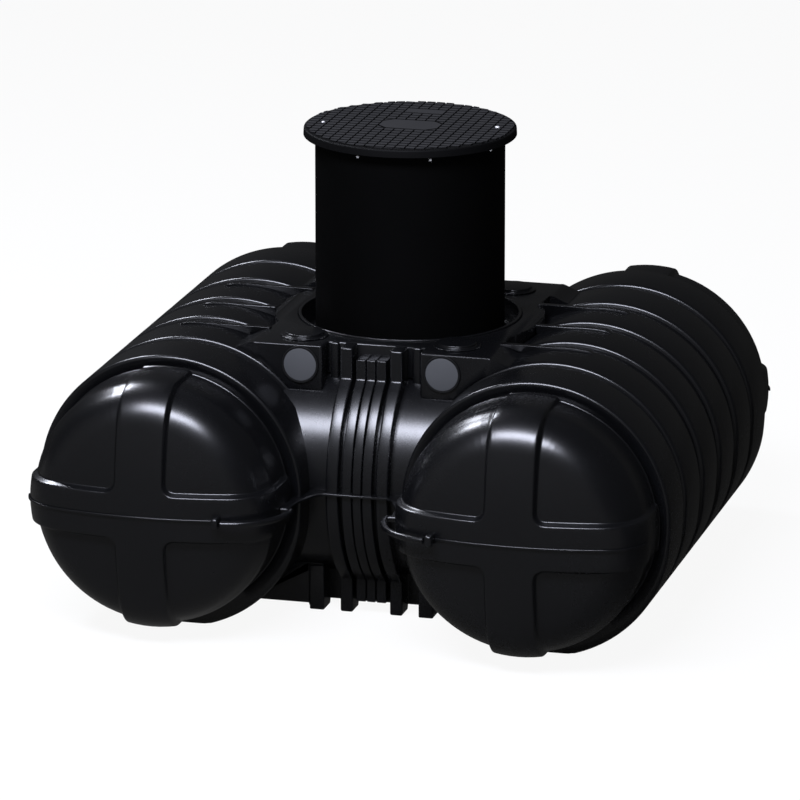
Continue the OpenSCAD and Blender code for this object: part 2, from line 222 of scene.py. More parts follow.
# %% [markdown]
# The riser is extruded pipe. It is blacker than the tank and nearly without gloss, so that it
# stands as a plain dark shape. Its reflection is set low, which a high roughness by itself
# wouldn't give, because a rough skin still greys in the light.

# %% Matt black pipe of the riser
def pipe_black():
    s = Shader("riser_black", Specular_IOR_Level=0.03)
    broad = s.noise(3.0)
    grain = s.noise(420.0)
    s.feed("Base Color", s.blend(broad, (0.0008, 0.0008, 0.0008, 1), (0.0014, 0.0014, 0.0014, 1)))
    s.feed("Roughness", broad * 0.08 + grain * 0.06 + 0.5)
    s.bump(grain, 0.2, 0.0004)
    return s.mat


riser_black = pipe_black()
print("made", riser_black.name)

# %% [markdown]
# The cover is grey on the tops of its tread, and near black below them: in its grooves, on the sides of
# the pads and on its skirt. The grey is the cover's own colour, and the near black below the tops is
# painted shade. The shade could be a material of its own on chosen faces. A height at which the grey
# begins is simpler, because the tops of the pads all lie in one plane.

# %% Painted shade below the cover's tops
# the height of the pad tops, below which the cover gets a painted shade
PAINTED_SHADE_BELOW = 1.5447


def cover_grey_skin():
    s = Shader("cover_grey", Specular_IOR_Level=0.08)
    broad = s.noise(5.0, 3.0)
    grain = s.noise(500.0)
    height = s.node("SeparateXYZ", out="Z", Vector=s.place())
    own_grey = s.blend(broad, (0.018, 0.018, 0.0185, 1), (0.025, 0.025, 0.026, 1))
    # painted shade: near black below the tops of the pads, on the grooves, the pads' sides and the skirt
    s.feed("Base Color", s.blend(height > PAINTED_SHADE_BELOW, (0.0015, 0.0015, 0.0016, 1), own_grey))
    s.feed("Roughness", broad * 0.1 + grain * 0.1 + 0.5)
    s.bump(grain, 0.25, 0.0005)
    return s.mat


cover_grey = cover_grey_skin()
print("made", cover_grey.name)

# %% [markdown]
# The small parts have finishes of their own: grey plastic plugs, dull rubber and screws of
# plain steel. Each could be one colour and one roughness, but a single value over a whole part
# looks empty, so both waver a little with a fine grain.

# %% Port plugs, rubber and steel
def port_grey_skin():
    s = Shader("port_grey", IOR=1.45)
    broad = s.noise(14.0, 3.0)
    grain = s.noise(600.0)
    s.feed("Base Color", s.blend(broad, (0.044, 0.046, 0.049, 1), (0.053, 0.055, 0.058, 1)))
    s.feed("Roughness", broad * 0.1 + grain * 0.08 + 0.55)
    s.bump(grain, 0.15, 0.0004)
    return s.mat


def rubber_skin():
    s = Shader("seal_rubber", IOR=1.25)
    grain = s.noise(300.0, 3.0)
    s.feed("Base Color", s.blend(grain, (0.002, 0.002, 0.002, 1), (0.004, 0.004, 0.004, 1)))
    s.feed("Roughness", grain * 0.2 + 0.6)
    s.bump(grain, 0.2, 0.0004)
    return s.mat


def steel_skin():
    s = Shader("screw_steel", Metallic=0.35)
    grain = s.noise(700.0, 3.0)
    s.feed("Base Color", s.blend(grain, (0.72, 0.72, 0.73, 1), (0.82, 0.82, 0.83, 1)))
    s.feed("Roughness", grain * 0.2 + 0.22)
    return s.mat


port_grey = port_grey_skin()
seal_rubber = rubber_skin()
screw_steel = steel_skin()
print("made", [m.name for m in (port_grey, seal_rubber, screw_steel)])

# %% [markdown]
# The frame's record says which finish each node has, and every node gets it now. Most nodes
# are replaced by a modelled piece further on, and those that stay are finished with this. The
# finishes could be listed here once more, but a list that is read can't fall out of step.

# %% Give each node its finish
FINISH = {"tank_black": tank_black, "riser_black": riser_black, "cover_grey": cover_grey,
          "port_grey": port_grey, "seal_rubber": seal_rubber, "screw_steel": screw_steel}
slot_of = {s["node"]: s["material_slot"] for s in frame["record"]["subparts"]}
for name, obj in nodes.items():
    obj.data.materials.clear()
    obj.data.materials.append(FINISH[slot_of[name]])
print("dressed", len(nodes), "nodes")

# %% [markdown]
# Most of these mouldings are drawn as one edge path and turned or pushed into a skin, as a
# modeller would by hand. Two helpers do the drawing and the turning. A primitive cylinder
# could be scaled and cut instead, but a path shows the whole profile at a glance.

# %% Draw a path and turn it
MM = 0.001
SIDES = ((-1, "left"), (1, "right"))
ENDS = ((-1, "front"), (1, "rear"))


def edge_path(name, points):
    """A chain of edges, drawn from a plane merged to one vertex that is extruded point by point."""
    bpy.ops.object.select_all(action="DESELECT")
    bpy.ops.mesh.primitive_plane_add(size=0.01, location=(0, 0, 0))
    obj = bpy.context.object
    obj.name = obj.data.name = name
    bpy.ops.object.mode_set(mode="EDIT")
    bpy.ops.mesh.select_mode(type="VERT")
    bpy.ops.mesh.merge(type="CENTER")
    bpy.ops.transform.translate(value=points[0])
    here = Vector(points[0])
    for point in points[1:]:
        step = Vector(point) - here
        bpy.ops.mesh.extrude_vertices_move(TRANSFORM_OT_translate={"value": step})
        here = Vector(point)
    return obj


def turn(obj, centre, axis, degrees, steps):
    """Spin the whole path about a line, and close it where it meets itself."""
    bpy.ops.mesh.select_all(action="SELECT")
    bpy.ops.mesh.spin(steps=steps, angle=math.radians(degrees), center=centre, axis=axis)
    bpy.ops.mesh.select_all(action="SELECT")
    bpy.ops.mesh.remove_doubles(threshold=0.00005)
    bpy.ops.mesh.normals_make_consistent(inside=False)
    bpy.ops.object.mode_set(mode="OBJECT")


print("paths are drawn in metres, and a millimetre is", MM)

# %% [markdown]
# A finished piece keeps its place in its mesh and rides on the one body of the frame. What is
# made of several parts is joined first, so that it stays one piece to handle. Arcs and a soft
# step are the two bits of reckoning that the outlines share.

# %% Finish a piece, join parts, and reckon arcs and soft steps
def done(obj, material, angle=35.0):
    """Smooth the faces between sharp edges, give the finish, and put the piece on the frame."""
    bpy.ops.object.select_all(action="DESELECT")
    obj.select_set(True)
    bpy.context.view_layer.objects.active = obj
    bpy.ops.object.shade_smooth_by_angle(angle=math.radians(angle))
    obj.data.materials.clear()
    obj.data.materials.append(material)
    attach(obj, "root")
    print(obj.name, "faces", len(obj.data.polygons))


def as_one(name, parts, node, material, angle=35.0):
    """Join the parts into one piece that stands for a node of the frame."""
    bpy.ops.object.select_all(action="DESELECT")
    for part in parts:
        part.select_set(True)
    piece = parts[0]
    bpy.context.view_layer.objects.active = piece
    bpy.ops.object.join()
    piece.name = piece.data.name = name
    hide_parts(node)
    done(piece, material, angle)


def arc(cx, cy, radius, start, end, count):
    """Points of an arc in the plane of a profile, in millimetres and degrees."""
    turns = [math.radians(start + (end - start) * i / count) for i in range(count + 1)]
    return [(cx + radius * math.cos(t), cy + radius * math.sin(t)) for t in turns]


def smooth(t):
    """From 0 to 1 along a soft step."""
    t = min(max(t, 0.0), 1.0)
    return t * t * (3 - 2 * t)


print("a soft step stands at", [smooth(i / 4) for i in range(5)])

# %% [markdown]
# A barrel is one long turned skin. Three raised bands lie on each half of it, with rounded
# edges where the black gloss catches the light, and softly filled corners where a band meets
# its groove. So the profile is drawn once, from the neck under one end cap to the other.
# Rings set on a plain cylinder would also give bands, but not these soft corners.

# %% Barrel profile
AXIS_X, AXIS_Z = 614.0, 457.0
BAND_R, GROOVE_R, NECK_R = 447.0, 430.0, 391.0
BARREL_HALF = 740.0
BANDS = ((31, 229), (291, 497), (537, 740))  # where each band begins and ends, from the middle
ROUND, FILLET = 12.0, 1.6


def barrel_profile():
    half = []
    for a, b in BANDS:
        half += [(GROOVE_R, a - 4), (GROOVE_R + FILLET, a - 1)]
        half += arc(BAND_R - ROUND, a + ROUND, ROUND, -90, 0, 5)
        half += arc(BAND_R - ROUND, b - ROUND, ROUND, 0, 90, 5)
        if b < BARREL_HALF:
            half += [(GROOVE_R + FILLET, b + 1), (GROOVE_R, b + 4)]
    half += [(NECK_R + 6, BARREL_HALF - 15), (NECK_R, BARREL_HALF - 13), (NECK_R, BARREL_HALF + 30)]
    back = [(r, -y) for r, y in reversed(half)]
    return back + half


profile = barrel_profile()
print("barrel profile:", len(profile), "points")

# %% [markdown]
# Below the seam the bands are set down by 30 mm and cut flat, so that the tank stands. Every
# vertex of a band below the axis therefore sinks, gently at first, and stops at the ground.
# Separate feet would leave a joint on what is one moulding.

# %% Turn the barrels and set down their bands
BARREL_STEPS = 144
FOOT_DROP, SET_DOWN_OVER = 30.0, 0.2  # depth, and the share of a radius over which it comes in
BAND_SLOPE = 8.0  # height over the groove from which a vertex sinks in full


def barrel(name, side):
    cx, cz = side * AXIS_X * MM, AXIS_Z * MM
    path = edge_path(name + "_barrel", [(cx + r * MM, y * MM, cz) for r, y in profile])
    turn(path, (cx, 0, cz), (0, 1, 0), 360, BARREL_STEPS)
    for v in path.data.vertices:
        off = Vector((v.co.x - cx, 0, v.co.z - cz))
        raised = min(max((off.length / MM - GROOVE_R - 1) / BAND_SLOPE, 0), 1)
        below = smooth(-off.z / off.length / SET_DOWN_OVER)
        v.co.z = max(v.co.z - FOOT_DROP * MM * raised * below, 0)
    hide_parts(name + "_upper_shell", name + "_lower_shell")
    done(path, tank_black)


for side, lr in SIDES:
    barrel(lr, side)

# %% [markdown]
# Each end is a domed cap: a straight skirt, a rounded shoulder and a flat dome, with four
# sunk panels that leave a cross. A flattened sphere would give a dome, but not the skirt and
# the shoulder. So the cap is turned like the barrel, from the neck to its pole.

# %% Cap profile
CAP_R, CAP_START, CAP_STRAIGHT = 407.0, 756.0, 900.0
KNUCKLE, CROWN = 150.0, 1200.0
CROWN_Y = CAP_STRAIGHT - math.sqrt((CROWN - KNUCKLE) ** 2 - (CAP_R - KNUCKLE) ** 2)
MEET = math.degrees(math.atan2(CAP_STRAIGHT - CROWN_Y, CAP_R - KNUCKLE))

cap_profile = [(NECK_R, CAP_START + 1.5), (CAP_R - 3, CAP_START)]
cap_profile += arc(CAP_R - 1, CAP_START + 7, 5.5, -75, 70, 6)
cap_profile += [(CAP_R, y) for y in (776, 790, 825, 860)]
cap_profile += arc(CAP_R - KNUCKLE, CAP_STRAIGHT, KNUCKLE, 0, MEET, 16)
cap_profile += arc(0, CROWN_Y, CROWN, MEET, 90, 14)[1:]
print("cap profile:", len(cap_profile), "points, pole at", round(cap_profile[-1][1], 1), "mm")

# %% [markdown]
# The cross stands proud of the cap, and the panels between its arms have round corners. A
# bump pattern could fake the step, but the light runs along its edges, so it has to be real.
# The height is a formula of the place, so that all four caps get the same cross.

# %% Height of the cross
CROSS_W, CROSS_H, CROSS_PROUD = 82.0, 78.0, 12.0
PANEL_ROUND, PANEL_SUNK, STEP = 34.0, 8.0, 16.0
DOME_FADE = 50.0


def cross_height(x, z, y):
    """How far the skin stands out at a place: proud on the cross, sunk in a panel of the dome."""
    qx, qz = CROSS_W + PANEL_ROUND - abs(x), CROSS_H + PANEL_ROUND - abs(z)
    if qx > 0 and qz > 0:
        d = math.hypot(qx, qz) - PANEL_ROUND
    else:
        d = max(qx, qz) - PANEL_ROUND
    on_cross = smooth((d + STEP / 2) / STEP)
    sunk = PANEL_SUNK * smooth((y - CAP_STRAIGHT) / DOME_FADE) * (1 - on_cross)
    return CROSS_PROUD * on_cross - sunk


pole = cap_profile[-1][1]
print("on the dome the cross stands", cross_height(0, 0, pole) - cross_height(200, 200, pole), "mm proud")

# %% [markdown]
# Before the skin is lifted it is bisected along lines that follow the cross, close together
# at the step and wider over the round corners, so that edges run where the panels begin. A
# finer turning would cost many more faces, and its edges would still cross the step at a slant.

# %% Turn, cut and lift the caps
CAP_STEPS = 96
CUTS = [-52, -47, -43, -39] + [-35 + 3 * i for i in range(9)] + [STEP * (i / 8 - 0.5) for i in range(9)]
LIFT_FROM, LIFT_OVER = 2.0, 9.0  # from the cap's edge at the barrel, and how far it takes to come in


def cap(name, side, front):
    cx, cz = side * AXIS_X * MM, AXIS_Z * MM
    path = edge_path(name, [(cx + r * MM, front * y * MM, cz) for r, y in cap_profile])
    turn(path, (cx, 0, cz), (0, 1, 0), 360, CAP_STEPS)
    bpy.ops.object.mode_set(mode="EDIT")
    for d in CUTS:
        for sign in (-1, 1):
            bpy.ops.mesh.select_all(action="SELECT")
            bpy.ops.mesh.bisect(plane_co=(cx + sign * (CROSS_W - d) * MM, 0, 0), plane_no=(1, 0, 0))
            bpy.ops.mesh.select_all(action="SELECT")
            bpy.ops.mesh.bisect(plane_co=(0, 0, cz + sign * (CROSS_H - d) * MM), plane_no=(0, 0, 1))
    bpy.ops.mesh.select_all(action="SELECT")
    bpy.ops.mesh.remove_doubles(threshold=0.0004)
    bpy.ops.mesh.normals_make_consistent(inside=False)
    bpy.ops.object.mode_set(mode="OBJECT")
    normals = [v.normal.copy() for v in path.data.vertices]
    for v, normal in zip(path.data.vertices, normals):
        along = abs(v.co.y) / MM
        height = cross_height((v.co.x - cx) / MM, (v.co.z - cz) / MM, along)
        v.co += normal * height * MM * smooth((along - CAP_START - LIFT_FROM) / LIFT_OVER)
    return path


for side, lr in SIDES:
    for front, fr in ENDS:
        piece = cap(lr + "_" + fr + "_cap", side, front)
        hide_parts(lr + "_" + fr + "_upper_end", lr + "_" + fr + "_lower_end")
        done(piece, tank_black, 40)

# %% [markdown]
# The waist is a curved skin between the barrels. It is a part of a lying cylinder, so a
# straight line across the tank is turned about the waist's own axis. A whole cylinder would
# leave most of its faces hidden inside the tank.

# %% Skin of the waist
WAIST_R, WAIST_C, WAIST_HIGH, WAIST_STEPS = 360.0, 285.0, 68.0, 56
WAIST_X = (-330, -165, 0, 165, 330)


def waist_skin(name, front):
    high = math.radians(WAIST_HIGH)
    y = front * (WAIST_C + WAIST_R * math.cos(high)) * MM
    z = (AXIS_Z + WAIST_R * math.sin(high)) * MM
    path = edge_path(name, [(x * MM, y, z) for x in WAIST_X])
    turn(path, (0, front * WAIST_C * MM, AXIS_Z * MM), (1, 0, 0), front * 2 * WAIST_HIGH, WAIST_STEPS)
    return path


print("the waist stands out to", WAIST_C + WAIST_R, "mm")

# %% [markdown]
# Five hoops run over the waist. Each runs on up the deck as a column and down as a leg, with
# a small fillet at each knee. So a hoop is drawn once as its side outline. Three pieces set end
# to end would show two joints that the moulding doesn't have.

# %% Side outline of a hoop
HOOP_R, HOOP_C = 415.0, 260.0
DECK_HALF, DECK_Z, RECESS_Y = 494.0, 903.0, 420.0
KNEE_R, FOOT_PROUD = 12.0, 1.6


def knee(front):
    """Height of the knee's middle point over the axis, and the angle at which the hoop begins."""
    out = front + KNEE_R - HOOP_C
    up = math.sqrt((HOOP_R + KNEE_R) ** 2 - out ** 2)
    return up, math.degrees(math.atan2(up, out))


def side_outline(top, foot):
    """Outline of a hoop in length and height, for the front, in millimetres."""
    toe = DECK_HALF + FOOT_PROUD
    (high, bend), (low, under) = knee(DECK_HALF), knee(toe)
    outline = [(RECESS_Y, top), (DECK_HALF, top)]
    outline += arc(DECK_HALF + KNEE_R, AXIS_Z + high, KNEE_R, 180, 180 + bend, 4)
    outline += arc(HOOP_C, AXIS_Z, HOOP_R, bend, -under, 30)[1:-1]
    outline += arc(toe + KNEE_R, AXIS_Z - low, KNEE_R, 180 - under, 180, 4)
    return outline + [(toe, foot), (RECESS_Y, foot)]


print("a hoop begins", round(knee(DECK_HALF)[1], 1), "degrees above the axis")

# %% [markdown]
# An outline is filled, pushed out to its width, and its edges are rounded by a bevel. The wide
# hoops and the slim posts reach the top of the deck. The narrow hoops stop lower, and their
# legs end above the ground. The same helper serves the gussets later on.

# %% Hoops and posts
WIDE = ((-105, -64), (64, 105))  # left and right edge of each
NARROW = ((-50, -19), (-14, 14), (19, 50))
SLIM = ((-154, -125), (125, 154))
NARROW_TOP, NARROW_FOOT = 866.0, 40.0
POST_FRONT, POST_FOOT = 438.0, 750.0
SPARE = 0.8  # added to a hoop on either side


def pushed(path, moves, rounding, sharp):
    """Fill a path, push it out move by move, and round the edges sharper than an angle."""
    bpy.ops.mesh.select_all(action="SELECT")
    bpy.ops.mesh.edge_face_add()
    for move in moves:
        bpy.ops.mesh.extrude_region_move(TRANSFORM_OT_translate={"value": [v * MM for v in move]})
    bpy.ops.mesh.select_all(action="SELECT")
    bpy.ops.mesh.normals_make_consistent(inside=False)
    bpy.ops.object.mode_set(mode="OBJECT")
    bevel = path.modifiers.new("rounding", "BEVEL")
    bevel.width = rounding * MM
    bevel.segments = 4
    bevel.limit_method = "ANGLE"
    bevel.angle_limit = math.radians(sharp)
    bpy.ops.object.modifier_apply(modifier=bevel.name)
    return path


def slab(outline, x0, x1, front, rounding):
    path = edge_path("slab", [(x0 * MM, front * y * MM, z * MM) for y, z in outline])
    return pushed(path, [(x1 - x0, 0, 0)], rounding, 28)


wide_line, narrow_line = side_outline(DECK_Z, 0), side_outline(NARROW_TOP, NARROW_FOOT)
post_line = [(RECESS_Y, DECK_Z), (POST_FRONT, DECK_Z), (POST_FRONT, POST_FOOT), (RECESS_Y, POST_FOOT)]
for front, fr in ENDS:
    skin = waist_skin(fr + "_waist", front)
    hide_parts(fr + "_waist_upper", fr + "_waist_lower")
    done(skin, tank_black)
    parts = [slab(wide_line, a - SPARE, b + SPARE, front, 7) for a, b in WIDE]
    parts += [slab(narrow_line, a - SPARE, b + SPARE, front, 3.6) for a, b in NARROW]
    parts += [slab(post_line, a, b, front, 6) for a, b in SLIM]
    as_one(fr + "_hoops", parts, fr + "_columns", tank_black)

# %% [markdown]
# The deck, the bosses, the seam, the neck and the blocks at the foot already have their true
# shape in the frame, but moulded plastic has no sharp edge. Each could be modelled again. It is
# quicker and truer to copy the node, merge its triangles back to flat faces, and round the
# edges that are long enough for it.

# %% Copy a node and round its edges
SHARP = 35.0


def flat_copy(node):
    """A copy of a node whose triangles are merged back to flat faces."""
    bpy.ops.object.select_all(action="DESELECT")
    nodes[node].select_set(True)
    bpy.context.view_layer.objects.active = nodes[node]
    bpy.ops.object.duplicate()
    obj = bpy.context.object
    obj.name = obj.data.name = node + "_rounded"
    bpy.ops.object.parent_clear(type="CLEAR_KEEP_TRANSFORM")
    bpy.ops.object.transform_apply(location=True, rotation=True, scale=True)
    bpy.ops.object.mode_set(mode="EDIT")
    bpy.ops.mesh.select_all(action="SELECT")
    bpy.ops.mesh.remove_doubles(threshold=0.0001)
    bpy.ops.mesh.dissolve_limited(angle_limit=math.radians(0.6))
    bpy.ops.mesh.normals_make_consistent(inside=False)
    bpy.ops.object.mode_set(mode="OBJECT")
    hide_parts(node)
    return obj


def round_long_edges(obj, rounding, shortest):
    """Bevel the edges that are sharp and long enough to take the rounding."""
    bpy.ops.object.select_all(action="DESELECT")
    obj.select_set(True)
    bpy.context.view_layer.objects.active = obj
    bpy.ops.object.mode_set(mode="EDIT")
    bpy.ops.mesh.select_mode(type="EDGE")
    bpy.ops.mesh.select_all(action="DESELECT")
    mesh = bmesh.from_edit_mesh(obj.data)
    picked = 0
    for e in mesh.edges:
        if len(e.link_faces) == 2 and e.calc_length() > shortest * MM:
            e.select = math.degrees(e.calc_face_angle()) > SHARP
            picked += e.select
    bmesh.update_edit_mesh(obj.data)
    bpy.ops.mesh.bevel(offset=rounding * MM, segments=3, affect="EDGES", clamp_overlap=False)
    bpy.ops.mesh.select_all(action="SELECT")
    bpy.ops.mesh.remove_doubles(threshold=0.0001)
    bpy.ops.mesh.select_mode(type="VERT")
    bpy.ops.object.mode_set(mode="OBJECT")
    print(obj.name, "rounded edges", picked)


print("edges over", SHARP, "degrees are rounded")

# %% [markdown]
# The corners of the deck reach out over the barrels as wings, which sink to the barrels in a
# soft slope. A bent plate could be set there, but the deck is one moulding. So its copy is
# bisected across the wings, to have vertices to move, and those are let down by the soft step.

# %% The deck and its wings
DECK_SIDE, DECK_WING, WING_DROP = 396.0, 466.0, 23.0
WING_CUTS = (396, 409, 421, 433, 445, 456)
WING_FROM = 300.0


def sink_wings(obj):
    bpy.ops.object.mode_set(mode="EDIT")
    for x in WING_CUTS:
        for sign in (-1, 1):
            bpy.ops.mesh.select_all(action="SELECT")
            bpy.ops.mesh.bisect(plane_co=(sign * x * MM, 0, 0), plane_no=(1, 0, 0))
    bpy.ops.object.mode_set(mode="OBJECT")
    for v in obj.data.vertices:
        out = (abs(v.co.x) / MM - DECK_SIDE) / (DECK_WING - DECK_SIDE)
        if abs(v.co.y) > WING_FROM * MM:
            v.co.z -= WING_DROP * smooth(out) * MM


deck = flat_copy("deck")
sink_wings(deck)
round_long_edges(deck, 7, 16)
done(deck, tank_black, 32)

# %% [markdown]
# The other copies need no more than their rounding. Thick parts take a large one and thin ribs
# a small one. One value for all would either vanish on the blocks or eat up the ribs.

# %% The other rounded copies
ROUNDED = (("deck_bosses", 3, 4), ("front_floor_block", 5, 16), ("rear_floor_block", 5, 16),
           ("seam_flanges", 2.5, 16), ("seam_ribs", 2.4, 4), ("neck_collar", 2, 16))
for node, rounding, shortest in ROUNDED:
    piece = flat_copy(node)
    round_long_edges(piece, rounding, shortest)
    done(piece, tank_black, 32)
for node in ("front_port_plugs", "rear_port_plugs"):
    piece = flat_copy(node)
    round_long_edges(piece, 1.2, 1)
    done(piece, port_grey)

# %% [markdown]
# A gusset carries the deck out over a groove of the barrel. Its front edge is a crisp ridge,
# level as far as the crown and then falling into the groove. Behind the ridge it slopes down
# and back. A plain wedge would do from afar, but its ridge would stay straight. So its outline
# is drawn as a path, filled, and pushed back row by row while it sinks.

# %% Gussets
GUSSET_TOP, GUSSET_FOOT, RIDGE, GUSSET_UNDER = 908.0, 806.0, 453.0, 420.0
GUSSET_TOE = (752, 864)
GUSSETS = ((-260, 391), (0, 445), (260, 391))  # place along the barrel, and start at the deck
GUSSET_FRONT, LEAN = -72.0, 0.3
GUSSET_ROWS = ((14, 0), (18, -3), (18, -6), (18, -8), (18, -9))  # back and down


def gusset(side, y, start):
    crown = math.degrees(math.asin((GUSSET_TOP - AXIS_Z) / RIDGE))
    outline = [(start, GUSSET_TOP)] + arc(AXIS_X, AXIS_Z, RIDGE, 180 - crown, 80, 10) + [GUSSET_TOE]
    outline += arc(AXIS_X, AXIS_Z, GUSSET_UNDER, 72, 123, 14) + [(start, GUSSET_FOOT)]
    line = [(side * x, y + GUSSET_FRONT + LEAN * (GUSSET_TOP - z), z) for x, z in outline]
    path = edge_path("gusset", [[v * MM for v in point] for point in line])
    return pushed(path, [(0, back, down) for back, down in GUSSET_ROWS], 6, 40)


for side, lr in SIDES:
    ribs = [gusset(side, y, start) for y, start in GUSSETS]
    as_one(lr + "_gusset_ribs", ribs, lr + "_gussets", tank_black, 40)

# %% [markdown]
# Each pipe port is a short black socket with a grey plug in its mouth. The socket's lip is
# turned about the line of the pipe. A torus would be quicker, but it is round all over, and
# this lip has straight sides.

# %% Port sockets
PORT_X, PORT_Z, PORT_R, PORT_GAP = 240.0, 837.0, 55.0, 0.4
PORT_STEPS = 64


def socket(side, front):
    inner, face = PORT_R + PORT_GAP, DECK_HALF
    lip = [(inner, face + 1), (inner, face + 5)] + arc(PORT_R + 5, face + 4, 2.5, 90, 0, 4)
    lip += [(PORT_R + 7.5, face - 4), (inner, face - 4), (inner, face + 1)]
    ring = edge_path("socket", [((side * PORT_X + r) * MM, front * y * MM, PORT_Z * MM) for r, y in lip])
    turn(ring, (side * PORT_X * MM, 0, PORT_Z * MM), (0, 1, 0), 360, PORT_STEPS)
    return ring


for front, fr in ENDS:
    rings = [socket(side, front) for side in (-1, 1)]
    as_one(fr + "_port_sockets", rings, fr + "_port_seals", seal_rubber)

# %% [markdown]
# A lifting eye is a round bar bent round the inner corner of each cap, with a thick lug on
# the dome. Its middle line is drawn as a path, turned into a curve with a round section, and
# back into a mesh. Cylinders set end to end would break the light that runs along the bend.

# %% Lifting eyes
EYE_X, EYE_Y, EYE_THICK = 357.0, 900.0, 10.5
EYE_LINE = [(-164, -12), (-184, -12)] + arc(0, 0, 197, 182, 96, 20)
LUG_X, LUG_Y, LUG_ROUND = 355.0, 1077.0, 9.0
LUG_SIZE = (24, 62, 38)


def bar(side, front):
    line = [(side * (EYE_X + x) * MM, front * (EYE_Y + y) * MM, AXIS_Z * MM) for x, y in EYE_LINE]
    edge_path("eye", line)
    bpy.ops.object.mode_set(mode="OBJECT")
    bpy.ops.object.convert(target="CURVE")
    curve = bpy.context.object
    curve.data.bevel_depth = EYE_THICK * MM
    curve.data.bevel_resolution = 4
    curve.data.use_fill_caps = True
    bpy.ops.object.convert(target="MESH")
    return bpy.context.object


def lug(side, front):
    """The upright lug on the dome that holds the end of the bar, with rounded edges."""
    bpy.ops.object.select_all(action="DESELECT")
    bpy.ops.mesh.primitive_cube_add(size=1, location=(side * LUG_X * MM, front * LUG_Y * MM, AXIS_Z * MM))
    block = bpy.context.object
    block.scale = [v * MM for v in LUG_SIZE]
    bpy.ops.object.transform_apply(location=True, rotation=True, scale=True)
    bpy.ops.object.mode_set(mode="EDIT")
    bpy.ops.mesh.select_all(action="SELECT")
    bpy.ops.mesh.bevel(offset=LUG_ROUND * MM, segments=4, affect="EDGES")
    bpy.ops.object.mode_set(mode="OBJECT")
    return block


eyes = []
for side in (-1, 1):
    for front in (-1, 1):
        eyes += [bar(side, front), lug(side, front)]
as_one("lifting_loops", eyes, "lifting_eyes", tank_black, 50)

# %% [markdown]
# The riser is a plain pipe with a frame on its top, and the cover over it is a disc with a
# skirt. Scaled cylinders would do for all three, but not for the disc's rounded rim, whose
# thin light line parts the cover from the black below it. So all are turned about the tank's
# upright middle line.

# %% Riser, frame and cover
RISER_R, RISER_IN, RISER_FOOT, RISER_TOP = 315.0, 306.0, 819.0, 1518.0
FRAME_R, FRAME_TOP, FRAME_ROUND = 329.0, 1529.0, 3.0
SKIRT_FOOT, COVER_UNDER, COVER_TOP = 1514.0, 1532.0, 1540.6
COVER_R, RIM_ROUND = 352.5, 5.5
ROUND_STEPS = 120


def turned(name, line, material, node):
    path = edge_path(name, [(r * MM, 0, z * MM) for r, z in line])
    turn(path, (0, 0, 0), (0, 0, 1), 360, ROUND_STEPS)
    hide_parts(node)
    done(path, material)


pipe_line = [(RISER_IN, RISER_FOOT), (RISER_R, RISER_FOOT), (RISER_R, RISER_TOP), (RISER_IN, RISER_TOP)]
turned("riser_pipe", pipe_line + pipe_line[:1], riser_black, "riser")

frame_line = [(RISER_IN, RISER_TOP), (RISER_R + 1, RISER_TOP)]
frame_line += arc(FRAME_R - FRAME_ROUND, RISER_TOP + 1, FRAME_ROUND, -90, 0, 3)
frame_line += arc(FRAME_R - FRAME_ROUND, FRAME_TOP - FRAME_ROUND, FRAME_ROUND, 0, 90, 3)
frame_line += [(RISER_IN, FRAME_TOP), (RISER_IN, RISER_TOP)]
turned("riser_frame", frame_line, riser_black, "cover_frame")

lid_line = [(0, COVER_TOP), (343, COVER_TOP)]
lid_line += arc(COVER_R - RIM_ROUND, COVER_TOP - RIM_ROUND, RIM_ROUND, 90, 0, 5)
lid_line += [(353.6, SKIRT_FOOT + 1.5), (352, SKIRT_FOOT), (346, SKIRT_FOOT + 1)]
lid_line += [(345, COVER_UNDER - 1), (341, COVER_UNDER), (0, COVER_UNDER)]
turned("cover_disc", lid_line, cover_grey, "cover")

# %% [markdown]
# The tread of the cover is a grid of small raised pads with narrow grooves between them, and
# blank plates where no pads stand. An array of blocks would need each one at the rim cut by
# hand. A grid plane is easier: it is cut to the round of the cover, cells are merged into the
# plates, and those that cross the rim are pulled back onto it.

# %% Tread of the cover
PAD_X, PAD_Y, PADS = 34.0, 33.0, 22
TREAD_R, NEAR_RIM, OVER_RIM = 347.0, 14.0, 4.0
PLATES = ((102, -33, 33), (68, -66, 66), (68, 165, 231))  # half width, front and rear edge


def pick_faces(obj, test):
    """Select in edit mode the faces that pass a test."""
    bpy.ops.object.mode_set(mode="EDIT")
    bpy.ops.mesh.select_mode(type="FACE")
    bpy.ops.mesh.select_all(action="DESELECT")
    mesh = bmesh.from_edit_mesh(obj.data)
    for f in mesh.faces:
        f.select = test(f)
    bmesh.update_edit_mesh(obj.data)


def past_rim(face):
    """Whether a cell's nearest corner is close to the rim, or its second nearest is over it."""
    far = sorted(math.hypot(v.co.x, v.co.y) / MM for v in face.verts)
    return far[0] > TREAD_R - NEAR_RIM or far[1] > TREAD_R + OVER_RIM


def on_plate(face):
    at = face.calc_center_median() / MM
    return any(abs(at.x) < half and near < at.y < far for half, near, far in PLATES)


def tread_grid():
    bpy.ops.object.select_all(action="DESELECT")
    bpy.ops.mesh.primitive_grid_add(x_subdivisions=PADS, y_subdivisions=PADS, size=1.0,
                                    location=(0, 0, (COVER_TOP + 0.1) * MM))
    obj = bpy.context.object
    obj.name = obj.data.name = "cover_tread"
    obj.scale = (PAD_X * PADS * MM, PAD_Y * PADS * MM, 1)
    bpy.ops.object.transform_apply(location=True, rotation=True, scale=True)
    pick_faces(obj, past_rim)
    bpy.ops.mesh.delete(type="FACE")
    pick_faces(obj, on_plate)
    bpy.ops.mesh.dissolve_faces(use_verts=True)
    bpy.ops.object.mode_set(mode="OBJECT")
    for v in obj.data.vertices:
        far = math.hypot(v.co.x, v.co.y) / MM
        if far > TREAD_R:
            v.co.x, v.co.y = v.co.x * TREAD_R / far, v.co.y * TREAD_R / far
    return obj


tread = tread_grid()
print("the tread has", len(tread.data.polygons), "cells")

